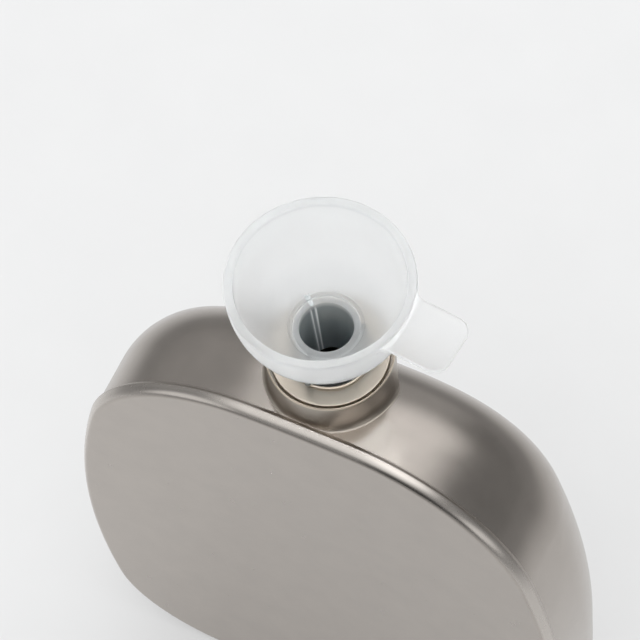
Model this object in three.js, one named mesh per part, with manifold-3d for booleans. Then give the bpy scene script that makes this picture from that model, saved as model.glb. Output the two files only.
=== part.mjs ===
// Titanium hip flask with a moulded filling funnel standing in its mouth.
// Millimetres, +Z up. The flask stands on its base with the neck axis on Z.
// Its concave face looks along -Y.
import * as THREE from 'three';
import { mergeVertices } from 'three/addons/utils/BufferGeometryUtils.js';
import Module from 'manifold-3d';

const wasm = await Module();
wasm.setup();

// Body outline, seen square on to the face
const bodyWidth = 96.3;
const shoulderHeight = 116;
const crownRadius = 1000;
const shoulderRadius = 33.8;
const flankRadius = 167;
const flankHeight = 48;
const baseCornerRadius = 24;

// Body section, measured back from the front of the face plate's rolled edge
const bodyDepth = 26;
const neckSetback = 14;
const crownEdgeRadius = 18;
const flankEdgeRadius = 13.8;
const baseEdgeRadius = 5;
const faceBowRadius = 620;
const backCrown = 2;
const shellWall = 0.8;

// Face plate: its edge rolls back from the dished face to a heel, a little proud of the side wall
const edgeDepth = 1.8;
const edgeProud = 0.7;
const edgeInset = 1.05;
const edgeTilt = 15;
const heelRound = 0.25;
const faceRecess = 0.9;
const plateThickness = 0.9;
const seamGap = 0.2;

// Mouth bush: a flange in the top of the collar and a threaded sleeve below it
const mouthRadius = 6.7;
const lipWidth = 1.2;
const lipHeight = 0.6;
const lipEdge = 0.3;
const sleeveWall = 1.5;
const sleeveLength = 10;
const sleeveClearance = 0.3;
const flangeOverhang = 2.25;
const flangeThickness = 1.2;
const flangeDish = 0.25;
const flangeSink = 0.3;
const flangeClearance = 0.1;
const threadPitch = 2;
const threadRadius = 0.4;
const threadTurns = 3;
const threadStart = 1.6;

// Neck collar on the shoulder, round the bush's flange
const collarHeight = 7.2;
const collarRimWidth = 0.6;
const collarEdge = 0.7;
const collarLedgeWidth = 1.5;
const collarWaist = 0.35;
const collarWaistHeight = 3.2;
const footFlare = 0.95;
const footEdge = 0.5;
const footMargin = 2;
const footMinWidth = 0.9;
const footTaper = 0.85;
const seatGap = 0.2;

// Funnel, with a bowl, a rim and a stem that stands in the mouth
const rimRadius = 15.9;
const rimWidth = 1.55;
const rimEdge = 0.35;
const bowlDepth = 15.6;
const bowlFloor = 1;
const bowlFullness = 2.28;
const ledgeWidth = 1.15;
const boreEdge = 0.35;
const stemAirGap = 1.7;
const stemWall = 1;
const stemTaper = 1.05;
const stemEntry = 6;
const restGap = 0.3;

// Ribs that stand the funnel on the lip and leave an air gap round its stem
const ribCount = 3;
const ribAngle = 145.7;
const ribHeight = 8.8;
const ribWidth = 0.9;
const ribTopReach = 1;
const ribSeatReach = 1;
const ribEntry = 1.5;
const ribEntryClearance = 0.4;

// Grip tab on the rim
const tabAngle = -5.3;
const tabLength = 9.9;
const tabWidth = 10.7;
const tabThickness = 1;
const tabDrop = 0.25;
const tabCorner = 2.6;
const tabFillet = 2;

// Steps of the round forms
const roundSteps = 48;
const crownSteps = 5;
const shoulderSteps = 12;
const flankSteps = 6;
const cornerSteps = 6;
const baseSteps = 4;
const edgeSteps = 6;
const innerEdgeSteps = 4;
const faceRings = 3;
const rollSteps = 6;
const coveSteps = 4;
const bowlSteps = 9;
const threadStepsPerTurn = 16;
const threadSides = 3;
const lipSteps = 3;
const rimSteps = 3;
const tabSteps = 6;

// Sizes that follow from those above
const faceCentre = shoulderHeight / 2;
const edgeLimit = bodyDepth - edgeDepth - seamGap - shellWall;
const crownEdge = Math.min(crownEdgeRadius, edgeLimit);
const flankEdge = Math.min(flankEdgeRadius, edgeLimit);
const sleeveRadius = mouthRadius + sleeveWall;
const flangeRadius = sleeveRadius + flangeOverhang;
const recessRadius = flangeRadius + flangeClearance;
const collarRadius = recessRadius + collarRimWidth;
const footRadius = collarRadius + footFlare;
const collarTop = shoulderHeight + collarHeight;
const flangeTop = collarTop - flangeSink;
const flangeBottom = flangeTop - flangeThickness;
const lipTop = flangeTop - flangeDish + lipHeight;
const boreFootRadius = mouthRadius - threadRadius - stemAirGap - stemWall;
const boreTopRadius = boreFootRadius + stemTaper;
const ledgeRadius = boreTopRadius + ledgeWidth;
const seatDepth = bowlDepth + ribHeight;
const stemLength = ribHeight + stemEntry;

const titanium = { color: 0xa39d96, roughness: 0.38, metalness: 1 };
const polypropylene = { color: 0xe9ecec, roughness: 0.35, metalness: 0 };

// Makes one body of a closed geometry: shared corners merged, collapsed triangles dropped, faces outward
function closedBody(geometry) {
  const bare = new THREE.BufferGeometry();
  bare.setAttribute('position', geometry.getAttribute('position'));
  bare.setIndex(geometry.getIndex());
  const merged = mergeVertices(bare, 1e-4);
  const corners = [0, 1, 2].map(() => new THREE.Vector3());
  const points = merged.getAttribute('position');
  const old = merged.getIndex().array;
  const kept = [];
  let volume = 0;
  for (let i = 0; i < old.length; i += 3) {
    const [a, b, c] = [old[i], old[i + 1], old[i + 2]];
    if (a === b || b === c || c === a) continue;
    kept.push(a, b, c);
    corners.forEach((corner, k) => corner.fromBufferAttribute(points, old[i + k]));
    volume += corners[0].dot(corners[1].cross(corners[2]));
  }
  if (volume < 0) kept.reverse();
  merged.setIndex(kept);
  return merged;
}

function toSolid(geometry) {
  const body = closedBody(geometry);
  return new wasm.Manifold(new wasm.Mesh({
    numProp: 3,
    vertProperties: Float32Array.from(body.getAttribute('position').array),
    triVerts: Uint32Array.from(body.getIndex().array),
  }));
}

function toGeometry(solid) {
  const mesh = solid.getMesh();
  const geometry = new THREE.BufferGeometry();
  geometry.setAttribute('position', new THREE.BufferAttribute(mesh.vertProperties, mesh.numProp));
  geometry.setIndex(new THREE.BufferAttribute(mesh.triVerts, 1));
  return geometry;
}

// Skins rows of points, each row a closed ring or one point; a wrapped loft joins its last row to its first
function loft(rows, wrapped = false) {
  const positions = [];
  const starts = rows.map((row) => {
    const start = positions.length / 3;
    row.forEach((point) => positions.push(point.x, point.y, point.z));
    return start;
  });
  const index = [];
  const steps = Math.max(...rows.map((row) => row.length));
  const last = wrapped ? rows.length : rows.length - 1;
  for (let i = 0; i < last; i++) {
    const next = (i + 1) % rows.length;
    const at = (row, k) => starts[row] + (k % rows[row].length);
    for (let k = 0; k < steps; k++) {
      if (rows[i].length > 1) index.push(at(i, k), at(i, k + 1), at(next, k + 1));
      if (rows[next].length > 1) index.push(at(i, k), at(next, k + 1), at(next, k));
    }
  }
  const geometry = new THREE.BufferGeometry();
  geometry.setAttribute('position', new THREE.Float32BufferAttribute(positions, 3));
  geometry.setIndex(index);
  return closedBody(geometry);
}

// Turns a closed list of [radius, height] points about Z
function turned(profile) {
  const closed = [...profile, profile[0]].map(([r, z]) => new THREE.Vector2(r, z));
  return closedBody(new THREE.LatheGeometry(closed, roundSteps).rotateX(Math.PI / 2));
}

function cylinder(radius, low, high) {
  const geometry = new THREE.CylinderGeometry(radius, radius, high - low, roundSteps);
  return geometry.rotateX(Math.PI / 2).translate(0, 0, (low + high) / 2);
}

// Points of an arc from one angle to another, without the last one
function arcPoints(x, y, radius, from, to, steps) {
  return Array.from({ length: steps }, (_, i) => {
    const angle = from + (to - from) * (i / steps);
    return [x + radius * Math.cos(angle), y + radius * Math.sin(angle), angle];
  });
}

// Body outline as stations with a place and an outward direction, clockwise from the top, in X and Z.
// A crown arc runs into a shoulder arc, a flank arc and a base corner, each tangent to the next.
function outlineStations(baseLevel) {
  const crown = new THREE.Vector2(0, shoulderHeight - crownRadius);
  const flank = new THREE.Vector2(bodyWidth / 2 - flankRadius, flankHeight);
  const toFlank = flank.clone().sub(crown);
  const span = toFlank.length();
  const crownReach = crownRadius - shoulderRadius;
  const flankReach = flankRadius - shoulderRadius;
  const along = (crownReach ** 2 - flankReach ** 2 + span ** 2) / (2 * span);
  const across = Math.sqrt(crownReach ** 2 - along ** 2);
  const unit = toFlank.divideScalar(span);
  const shoulder = new THREE.Vector2(
    crown.x + along * unit.x + across * unit.y,
    crown.y + along * unit.y - across * unit.x,
  );
  const cornerHeight = baseLevel + baseCornerRadius;
  const cornerReach = flankRadius - baseCornerRadius;
  const cornerX = flank.x + Math.sqrt(cornerReach ** 2 - (cornerHeight - flankHeight) ** 2);
  const crownEnd = shoulder.clone().sub(crown).angle();
  const flankTop = shoulder.clone().sub(flank).angle();
  const flankEnd = Math.atan2(cornerHeight - flankHeight, cornerX - flank.x);
  const arcs = [
    ...arcPoints(crown.x, crown.y, crownRadius, Math.PI / 2, crownEnd, crownSteps),
    ...arcPoints(shoulder.x, shoulder.y, shoulderRadius, crownEnd, flankTop, shoulderSteps),
    ...arcPoints(flank.x, flank.y, flankRadius, flankTop, flankEnd, flankSteps),
    ...arcPoints(cornerX, cornerHeight, baseCornerRadius, flankEnd, -Math.PI / 2, cornerSteps),
  ].map(([x, z, angle]) => ({ x, z, nx: Math.cos(angle), nz: Math.sin(angle) }));
  const base = Array.from({ length: baseSteps }, (_, i) => {
    return { x: cornerX * (1 - i / baseSteps), z: baseLevel, nx: 0, nz: -1 };
  });
  const right = [...arcs, ...base];
  const left = right.slice(1).reverse().map((s) => ({ x: -s.x, z: s.z, nx: -s.nx, nz: s.nz }));
  return [...right, { x: 0, z: baseLevel, nx: 0, nz: -1 }, ...left];
}

// Bow of the face across its width, at the rolled edge's front; it fades to none at the back
const faceBow = (x) => -(x ** 2) / (2 * faceBowRadius);

// Place in the flask of a point of the outline's plane at some depth behind the rolled edge's front
function placed(x, z, depth) {
  return new THREE.Vector3(x, depth - neckSetback + faceBow(x) * (1 - depth / bodyDepth), z);
}

// Radius of the back edge: large behind the neck, less at the flanks, least along the base
function edgeRadiusAt(station) {
  const { lerp, smoothstep } = THREE.MathUtils;
  const upper = lerp(crownEdge, flankEdge, smoothstep(Math.abs(station.x), footRadius, bodyWidth / 2));
  return lerp(baseEdgeRadius, upper, smoothstep(station.z, 0, flankHeight));
}

// A ring of the outline, moved in by a distance and set at a depth, both given for each station
function outlineRing(stations, insetAt, depthAt) {
  return stations.map((s) => {
    const inset = insetAt(s);
    return placed(s.x - s.nx * inset, s.z - s.nz * inset, depthAt(s));
  });
}

// Rings that fill a face from an edge ring to its centre, with a crown that swells backwards
function fillRings(stations, insetAt, depth, crown) {
  const rings = [];
  for (let k = faceRings - 1; k > 0; k--) {
    const share = k / faceRings;
    const swell = crown * (1 - share ** 2) ** 2;
    rings.push(stations.map((s) => {
      const x = (s.x - s.nx * insetAt(s)) * share;
      const z = faceCentre + (s.z - s.nz * insetAt(s) - faceCentre) * share;
      return placed(x, z, depth).add(new THREE.Vector3(0, swell, 0));
    }));
  }
  rings.push([placed(0, faceCentre, depth).add(new THREE.Vector3(0, crown, 0))]);
  return rings;
}

// Rounded back edge and back face of one skin of the shell, from the band to the middle of the back
function backSkin(stations, wall, steps) {
  const rings = [];
  for (let k = 0; k <= steps; k++) {
    const turn = (Math.PI / 2) * (k / steps);
    const insetAt = (s) => edgeRadiusAt(s) - (edgeRadiusAt(s) - wall) * Math.cos(turn);
    const depthAt = (s) => bodyDepth - edgeRadiusAt(s) + (edgeRadiusAt(s) - wall) * Math.sin(turn);
    rings.push(outlineRing(stations, insetAt, depthAt));
  }
  return [...rings, ...fillRings(stations, edgeRadiusAt, bodyDepth - wall, backCrown)];
}

// Deep drawn back and side wall in one shell, open to the face plate, with a hole for the neck
function bodyShell() {
  const stations = outlineStations(0);
  const frontDepth = edgeDepth + seamGap;
  const frontEdge = (wall) => outlineRing(stations, () => wall, () => frontDepth);
  const inner = [frontEdge(shellWall), ...backSkin(stations, shellWall, innerEdgeSteps)].reverse();
  const outer = [frontEdge(0), ...backSkin(stations, 0, edgeSteps)];
  const shell = toSolid(loft([...inner, ...outer]));
  const hole = cylinder(sleeveRadius + sleeveClearance, shoulderHeight - crownEdge, collarTop);
  return toGeometry(shell.subtract(toSolid(hole)));
}

// Dished face plate of even sheet; its rolled edge stands proud of the side wall but not of the base
function facePlate() {
  const stations = outlineStations(edgeProud);
  const ring = (inset, depth) => outlineRing(stations, () => inset, () => depth);
  const heelDepth = edgeDepth - heelRound;
  const heel = new THREE.Vector2(-edgeProud, heelDepth);
  const bend = new THREE.Vector2(heel.x + heelDepth * Math.tan(THREE.MathUtils.degToRad(edgeTilt)), 0);
  const roll = new THREE.QuadraticBezierCurve(new THREE.Vector2(edgeInset, 0), bend, heel);
  const edge = roll.getPoints(rollSteps).map((p) => ring(p.x, p.y));
  const rim = [ring(heelRound - edgeProud, edgeDepth), ring(shellWall, edgeDepth)];
  const backInset = edgeInset + plateThickness / 2;
  const front = fillRings(stations, () => edgeInset, 0, faceRecess).reverse();
  const back = fillRings(stations, () => backInset, plateThickness, faceRecess);
  return loft([...front, ...edge, ...rim, ring(backInset, plateThickness), ...back]);
}

// Height of the surface under the collar: a gap off the shoulder, or off the plate's edge if it is there
function seatAt(x, y) {
  const bow = faceBow(x);
  const depth = (y + neckSetback - bow) / (1 - bow / bodyDepth);
  const edgeStart = bodyDepth - crownEdge;
  const seatRadius = crownEdge + seatGap;
  let drop = -seatGap;
  if (depth < edgeDepth + seamGap) drop -= edgeProud;
  if (depth > edgeStart) {
    const sine = Math.min((depth - edgeStart) / seatRadius, 1);
    drop = crownEdge - seatRadius * Math.sqrt(1 - sine ** 2);
  }
  return shoulderHeight - crownRadius + Math.sqrt((crownRadius - drop) ** 2 - x ** 2);
}

// Neck collar: a ring whose flared foot is trimmed along the seam and follows the rounded back edge
function neckCollar() {
  const ledge = flangeBottom - seatGap;
  const waist = collarRadius - collarWaist;
  const inner = recessRadius - collarLedgeWidth;
  const leastFoot = inner + footMinWidth;
  const frontLimit = neckSetback - edgeDepth - seamGap - seatGap;
  const backLimit = bodyDepth - neckSetback - footMargin;
  const backFoot = Math.min(footRadius, Math.max(backLimit, leastFoot));
  const halfRim = collarRimWidth / 2;
  const edge = new THREE.EllipseCurve(
    collarRadius - halfRim, collarTop - collarEdge, halfRim, collarEdge, 0, Math.PI / 2);
  const rows = Array.from({ length: roundSteps }, (_, i) => {
    const angle = (2 * Math.PI * i) / roundSteps;
    const [cosine, sine] = [Math.cos(angle), Math.sin(angle)];
    const backShare = THREE.MathUtils.smoothstep(sine, 0, footTaper);
    const trimmed = sine < 0 ? Math.min(footRadius, frontLimit / -sine) : footRadius;
    const foot = THREE.MathUtils.lerp(Math.max(trimmed, leastFoot), backFoot, backShare);
    const seat = (r) => new THREE.Vector2(r, seatAt(r * cosine, r * sine));
    const raised = (r) => seat(r).add(new THREE.Vector2(0, footEdge));
    const coveTop = new THREE.Vector2(waist, shoulderHeight + collarWaistHeight);
    const cove = new THREE.QuadraticBezierCurve(raised(foot), raised(Math.min(foot, waist)), coveTop);
    const profile = [
      seat(inner), seat((inner + foot) / 2), seat(foot),
      ...cove.getPoints(coveSteps), ...edge.getPoints(rimSteps),
      new THREE.Vector2(recessRadius, collarTop - collarEdge / 2),
      new THREE.Vector2(recessRadius, ledge), new THREE.Vector2(inner, ledge),
    ];
    return profile.map((p) => new THREE.Vector3(p.x * cosine, p.x * sine, p.y));
  });
  return loft(rows, true);
}

class Helix extends THREE.Curve {
  constructor(radius, pitch, turns, low) {
    super();
    Object.assign(this, { radius, pitch, turns, low });
  }

  getPoint(t, target = new THREE.Vector3()) {
    const angle = 2 * Math.PI * this.turns * t;
    return target.set(
      this.radius * Math.cos(angle), this.radius * Math.sin(angle), this.low + this.pitch * this.turns * t);
  }
}

// Mouth bush: dished flange, raised lip round the mouth, and a sleeve with a rolled inside thread
function mouthBush() {
  const sleeveFoot = flangeTop - sleeveLength;
  const dish = flangeTop - flangeDish;
  const lipFoot = new THREE.Vector2(mouthRadius + lipWidth, dish);
  const crest = new THREE.Vector2(mouthRadius + lipEdge, lipTop);
  const fillet = new THREE.QuadraticBezierCurve(lipFoot, new THREE.Vector2(crest.x + lipEdge, dish), crest);
  const inside = new THREE.EllipseCurve(crest.x, lipTop - lipEdge, lipEdge, lipEdge, Math.PI / 2, Math.PI);
  const body = toSolid(turned([
    [mouthRadius, sleeveFoot], [sleeveRadius, sleeveFoot], [sleeveRadius, flangeBottom],
    [flangeRadius, flangeBottom], [flangeRadius, flangeTop],
    ...fillet.getPoints(lipSteps).map((p) => [p.x, p.y]),
    ...inside.getPoints(lipSteps).slice(1).map((p) => [p.x, p.y]),
  ]));
  const section = new THREE.Shape().absarc(0, 0, threadRadius, 0, 2 * Math.PI);
  const threadFoot = lipTop - threadStart - threadPitch * threadTurns;
  const path = new Helix(mouthRadius, threadPitch, threadTurns, threadFoot);
  const ridge = new THREE.ExtrudeGeometry(section, {
    steps: threadStepsPerTurn * threadTurns, curveSegments: threadSides,
    bevelEnabled: false, extrudePath: path,
  });
  return toGeometry(body.add(toSolid(ridge)));
}

// Radius of the stem's bore at a height below the bowl's floor
const boreAt = (below) => boreTopRadius + (boreFootRadius - boreTopRadius) * (below / stemLength);
const bowlRadius = rimRadius - rimWidth;
const outerFoot = boreTopRadius + stemWall;

// Share of a bowl's full depth at a share of its radius: an ellipse, made fuller at its waist
const bowlCurve = (share) => (1 - share ** bowlFullness) ** (1 / bowlFullness);
const bowlHalf = bowlDepth / bowlCurve(ledgeRadius / bowlRadius);
const outerHalf = (bowlDepth + bowlFloor) / bowlCurve(outerFoot / rimRadius);

// Height of the middle of the bowl's wall at a radius, down from the rim
function bowlMiddle(r) {
  const inside = bowlHalf * bowlCurve(Math.min(Math.max(r, ledgeRadius) / bowlRadius, 1));
  const outside = outerHalf * bowlCurve(Math.min(r / rimRadius, 1));
  return -(inside + outside) / 2;
}

// Bowl, rim and stem, turned about Z with the rim's top at zero
function funnelBowl() {
  const floor = -bowlDepth;
  // Skin of the bowl from its foot up to the rim's edge
  const skin = (radius, half, foot) => Array.from({ length: bowlSteps + 1 }, (_, i) => {
    const from = Math.acos((foot / radius) ** (bowlFullness / 2));
    const to = Math.asin((rimEdge / half) ** (bowlFullness / 2));
    const turn = from + (to - from) * (i / bowlSteps);
    return [radius * Math.cos(turn) ** (2 / bowlFullness), -half * Math.sin(turn) ** (2 / bowlFullness)];
  });
  return turned([
    [boreFootRadius, floor - stemLength], [boreAt(boreEdge), floor - boreEdge],
    [boreTopRadius + boreEdge, floor],
    ...skin(bowlRadius, bowlHalf, ledgeRadius),
    [bowlRadius + rimEdge, 0], [rimRadius - rimEdge, 0],
    ...skin(rimRadius, outerHalf, outerFoot).reverse(),
    [boreFootRadius + stemWall, floor - stemLength],
  ]);
}

// Rib on the stem: a fin under the bowl, a step that stands on the lip and a tongue that enters the mouth
function funnelRib() {
  const stemMiddle = (z) => boreAt(-bowlDepth - z) + stemWall / 2;
  const tongueFoot = -seatDepth - ribEntry;
  const topReach = boreTopRadius + stemWall + ribTopReach;
  const seatReach = mouthRadius + ribSeatReach;
  const tongueReach = mouthRadius - threadRadius - ribEntryClearance;
  const shape = new THREE.Shape([
    [stemMiddle(tongueFoot), tongueFoot], [tongueReach, tongueFoot], [tongueReach, -seatDepth],
    [seatReach, -seatDepth], [topReach, bowlMiddle(topReach)],
    [stemMiddle(-bowlDepth), -bowlDepth - bowlFloor / 2],
  ].map(([r, z]) => new THREE.Vector2(r, z)));
  const fin = new THREE.ExtrudeGeometry(shape, { depth: ribWidth, bevelEnabled: false });
  return fin.translate(0, 0, -ribWidth / 2).rotateX(Math.PI / 2);
}

// Flat grip tab with rounded corners, filleted into the rim
function funnelTab() {
  const half = tabWidth / 2;
  const tabReach = rimRadius + tabLength;
  const root = rimRadius - rimWidth / 2;
  const filletY = half + tabFillet;
  const filletX = Math.sqrt((rimRadius + tabFillet) ** 2 - filletY ** 2);
  const spread = Math.atan2(filletY, filletX);
  const shape = new THREE.Shape();
  shape.moveTo(root * Math.cos(spread), -root * Math.sin(spread));
  shape.absarc(filletX, -filletY, tabFillet, Math.PI - spread, Math.PI / 2, true);
  shape.absarc(tabReach - tabCorner, -half + tabCorner, tabCorner, -Math.PI / 2, 0, false);
  shape.absarc(tabReach - tabCorner, half - tabCorner, tabCorner, 0, Math.PI / 2, false);
  shape.absarc(filletX, filletY, tabFillet, -Math.PI / 2, spread - Math.PI, true);
  shape.absarc(0, 0, root, spread, -spread, true);
  const plate = new THREE.ExtrudeGeometry(shape, {
    depth: tabThickness, curveSegments: tabSteps, bevelEnabled: false,
  });
  return plate.translate(0, 0, -tabDrop - tabThickness);
}

// Funnel moulded in one piece
function funnel() {
  const radians = THREE.MathUtils.degToRad;
  let solid = toSolid(funnelBowl()).add(toSolid(funnelTab().rotateZ(radians(tabAngle))));
  for (let i = 0; i < ribCount; i++) {
    solid = solid.add(toSolid(funnelRib().rotateZ(radians(ribAngle + (360 * i) / ribCount))));
  }
  return toGeometry(solid);
}

function part(name, geometry, finish) {
  const mesh = new THREE.Mesh(geometry, new THREE.MeshStandardMaterial(finish));
  mesh.name = name;
  return mesh;
}

const flask = new THREE.Group();
flask.add(
  part('body_shell', bodyShell(), titanium),
  part('face_plate', facePlate(), titanium),
  part('neck_collar', neckCollar(), titanium),
  part('mouth_bush', mouthBush(), titanium),
);

const funnelGroup = new THREE.Group();
funnelGroup.position.z = lipTop + restGap + seatDepth;
funnelGroup.add(part('funnel', funnel(), polypropylene));
flask.add(funnelGroup);

export default flask;
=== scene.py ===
"""Looks of the titanium flask and its filling funnel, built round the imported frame. Metres, +Z up."""
import math

import bmesh
import bpy
import numpy as np
from mathutils import Matrix, Vector


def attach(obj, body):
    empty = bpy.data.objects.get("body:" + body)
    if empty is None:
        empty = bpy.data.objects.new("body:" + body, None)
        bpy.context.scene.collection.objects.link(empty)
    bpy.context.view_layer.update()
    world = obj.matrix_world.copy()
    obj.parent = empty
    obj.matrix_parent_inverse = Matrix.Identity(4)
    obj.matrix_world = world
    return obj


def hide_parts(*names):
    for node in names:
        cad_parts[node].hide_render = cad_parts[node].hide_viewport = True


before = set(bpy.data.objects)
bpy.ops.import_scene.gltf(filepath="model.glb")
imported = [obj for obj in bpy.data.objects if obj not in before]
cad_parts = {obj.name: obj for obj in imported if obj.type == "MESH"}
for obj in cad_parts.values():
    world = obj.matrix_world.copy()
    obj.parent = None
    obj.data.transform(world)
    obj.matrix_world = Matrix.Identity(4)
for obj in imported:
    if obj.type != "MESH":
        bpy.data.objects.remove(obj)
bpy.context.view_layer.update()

# Body outline, seen square on to the face
BODY_WIDTH = 0.0963
SHOULDER_HEIGHT = 0.116
CROWN_RADIUS = 1.0
SHOULDER_RADIUS = 0.0338
FLANK_RADIUS = 0.167
FLANK_HEIGHT = 0.048
BASE_CORNER_RADIUS = 0.024

# Body section; depths are measured back from the plane just before the face plate's rolled edge
BODY_DEPTH = 0.026
NECK_SETBACK = 0.014
CROWN_EDGE_RADIUS = 0.018
FLANK_EDGE_RADIUS = 0.0138
BASE_EDGE_RADIUS = 0.005
FACE_BOW_RADIUS = 0.62
BACK_CROWN = 0.002
SHELL_WALL = 0.0008
SHELL_LIP = 0.00003

# Face plate with a rolled edge that stands a little proud of the shell, and a weld behind it
EDGE_PROUD = 0.00065
EDGE_TILT = math.radians(15)
EDGE_END_INSET = 0.00105
EDGE_END_DEPTH = 0.0001
HEEL_ROUND = 0.0003
HEEL_DEPTH = 0.00195
HEEL_LEAN = math.radians(60)
FACE_RECESS = 0.0009
PLATE_THICKNESS = 0.0009
SEAM_DEPTH = FACE_RECESS + PLATE_THICKNESS
WELD_GAP = 0.00001
HEEL_CENTRE = HEEL_ROUND - EDGE_PROUD
HEEL_FOOT_INSET = HEEL_CENTRE - HEEL_ROUND * math.cos(HEEL_LEAN)
HEEL_FOOT_DEPTH = HEEL_DEPTH + HEEL_ROUND * math.sin(HEEL_LEAN)
WELD_CORNER = HEEL_FOOT_DEPTH - HEEL_FOOT_INSET / math.tan(HEEL_LEAN)
WELD_DEPTH = WELD_CORNER - 0.6 * HEEL_FOOT_INSET

# Mouth bush
MOUTH_RADIUS = 0.0067
LIP_WIDTH = 0.0006
LIP_HEIGHT = 0.0006
LIP_EDGE = LIP_WIDTH / 2
SLEEVE_RADIUS = 0.0082
SLEEVE_LENGTH = 0.010
SLEEVE_CLEARANCE = 0.0003
FLANGE_RADIUS = 0.0103
FLANGE_THICKNESS = 0.0012
FLANGE_DISH = 0.00025
FLANGE_SINK = 0.0003
FLANGE_EDGE = 0.00015
THREAD_PITCH = 0.002
THREAD_RADIUS = 0.0004
THREAD_TURNS = 3
THREAD_START = 0.0016

# Neck collar
COLLAR_HEIGHT = 0.0072
COLLAR_RADIUS = 0.01115
COLLAR_RIM_WIDTH = 0.00035
COLLAR_EDGE = 0.0007
COLLAR_LEDGE_WIDTH = 0.00175
COLLAR_WAIST = 0.00003
COLLAR_WAIST_HEIGHT = 0.003
FOOT_FLARE = 0.0009
FOOT_EDGE = 0.00006
FOOT_ROUND = 0.00005
FOOT_SINK = 0.00004
FOOT_MARGIN = 0.002
FOOT_MIN_WIDTH = 0.0009
FOOT_TAPER = 0.85
SEAT_GAP = 0.0002
RECESS_RADIUS = COLLAR_RADIUS - COLLAR_RIM_WIDTH
FOOT_RADIUS = COLLAR_RADIUS + FOOT_FLARE
COLLAR_TOP = SHOULDER_HEIGHT + COLLAR_HEIGHT
FLANGE_TOP = COLLAR_TOP - FLANGE_SINK
FLANGE_BOTTOM = FLANGE_TOP - FLANGE_THICKNESS
LIP_TOP = FLANGE_TOP - FLANGE_DISH + LIP_HEIGHT

# Funnel
RIM_RADIUS = 0.0159
RIM_WIDTH = 0.00155
RIM_EDGE = 0.00035
BOWL_DEPTH = 0.0156
BOWL_FLOOR = 0.001
BOWL_FULLNESS = 2.28
LEDGE_WIDTH = 0.00115
LEDGE_STEP = 0.0003
LEDGE_SHELF = 0.0007
BORE_EDGE = 0.00035
BORE_FOOT_RADIUS = 0.0036
BORE_TOP_RADIUS = 0.00465
STEM_WALL = 0.001
STEM_ENTRY = 0.006
REST_GAP = 0.0003
RIB_COUNT = 3
RIB_ANGLE = math.radians(145.7)
RIB_HEIGHT = 0.0088
RIB_WIDTH = 0.0009
RIB_TOP_REACH = 0.001
RIB_SEAT_REACH = 0.001
RIB_ENTRY = 0.0015
RIB_ENTRY_CLEARANCE = 0.0004
LINE_TURN = math.radians(1.2)
TAB_ANGLE = math.radians(-5.3)
TAB_LENGTH = 0.0099
TAB_WIDTH = 0.0107
TAB_THICKNESS = 0.001
TAB_DROP = 0.00025
TAB_CORNER = 0.0026
TAB_FILLET = 0.002
TAB_EDGE = 0.00022
STEM_LENGTH = RIB_HEIGHT + STEM_ENTRY
SEAT_DEPTH = BOWL_DEPTH + RIB_HEIGHT
RIM_TOP = LIP_TOP + REST_GAP + SEAT_DEPTH
BOWL_RADIUS = RIM_RADIUS - RIM_WIDTH
LEDGE_RADIUS = BORE_TOP_RADIUS + LEDGE_WIDTH
OUTER_FOOT = BORE_TOP_RADIUS + STEM_WALL

# Steps of the round forms
CROWN_STEPS = 10
SHOULDER_STEPS = 34
FLANK_STEPS = 22
CORNER_STEPS = 20
BASE_STEPS = 10
EDGE_STEPS = 24
BAND_STEPS = 6
FACE_RINGS = 14
ROUND_STEPS = 160
ROLL_STEPS = 24
HEEL_POINTS = 12
WELD_STEPS = 8
COLLAR_ARC_POINTS = 9
COVE_STEPS = 18
BUSH_ARC_POINTS = 8
BOWL_POINTS = 40
STEM_POINTS = 14
LIP_STEPS = 6
THREAD_STEPS = 64
THREAD_SIDES = 10

# Angle in degrees from which an edge is shaded sharp
METAL_SHARP = 40
PLASTIC_SHARP = 35

# Titanium: waves per metre of its clouds, specks and grain, and how much each counts
CLOUD_SCALE = 150
SPECK_SCALE = 700
GRAIN_SCALE = 1900
CLOUD_SHARE = 0.6
SPECK_SHARE = 0.4
GRAIN_SPECKS = 0.5
GRAIN_DEPTH = 0.00002
RING_SCALE = 700
RING_BEND = 0.4
RING_SHARE = 0.8
WEAR_POLISH = 0.03

# Titanium finishes: dark, light and worn tone, least and most roughness, and strength of the grain
SHEET_WORN = (0.61, 0.57, 0.53)
SHELL_FINISH = ((0.45, 0.412, 0.378), (0.49, 0.45, 0.412), SHEET_WORN, 0.21, 0.27, 0.012)
FACE_FINISH = ((0.455, 0.417, 0.383), (0.485, 0.445, 0.408), SHEET_WORN, 0.27, 0.32, 0.006)
NECK_FINISH = ((0.43, 0.388, 0.34), (0.47, 0.425, 0.372), (0.8, 0.7, 0.58), 0.32, 0.38, 0.015)

# Painted reflection on the bush's disc, lighter away from the lip; depth below the collar's rim where its
# worn tone starts and is full, and the shares of a forward look between which the plate's edge is worn
DISC_REFLECTION = 0.35
RIM_WEAR_START = 0.0006
RIM_WEAR_FULL = 0.0001
EDGE_WEAR_START = 0.1
EDGE_WEAR_FULL = 0.35
EDGE_WEAR_LAST = 0.75
EDGE_WEAR_END = 0.95

# Funnel's plastic: tones, among them a painted shade tone, the painted shade where a rib shows through, and a
# white for milky plastic and painted highlight lines; haze, and the share of light that passes
PLASTIC_DARK = (0.885, 0.89, 0.89)
PLASTIC_LIGHT = (0.905, 0.91, 0.91)
# Painted shade tone for the bore, the ribs, the tube, the rim and the lower bowl
PAINTED_SHADE_TONE = (0.2, 0.235, 0.25)
# Painted shade where a rib's top shows through the bowl's floor
RIB_SHADE_TONE = (0.5, 0.53, 0.54)
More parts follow.
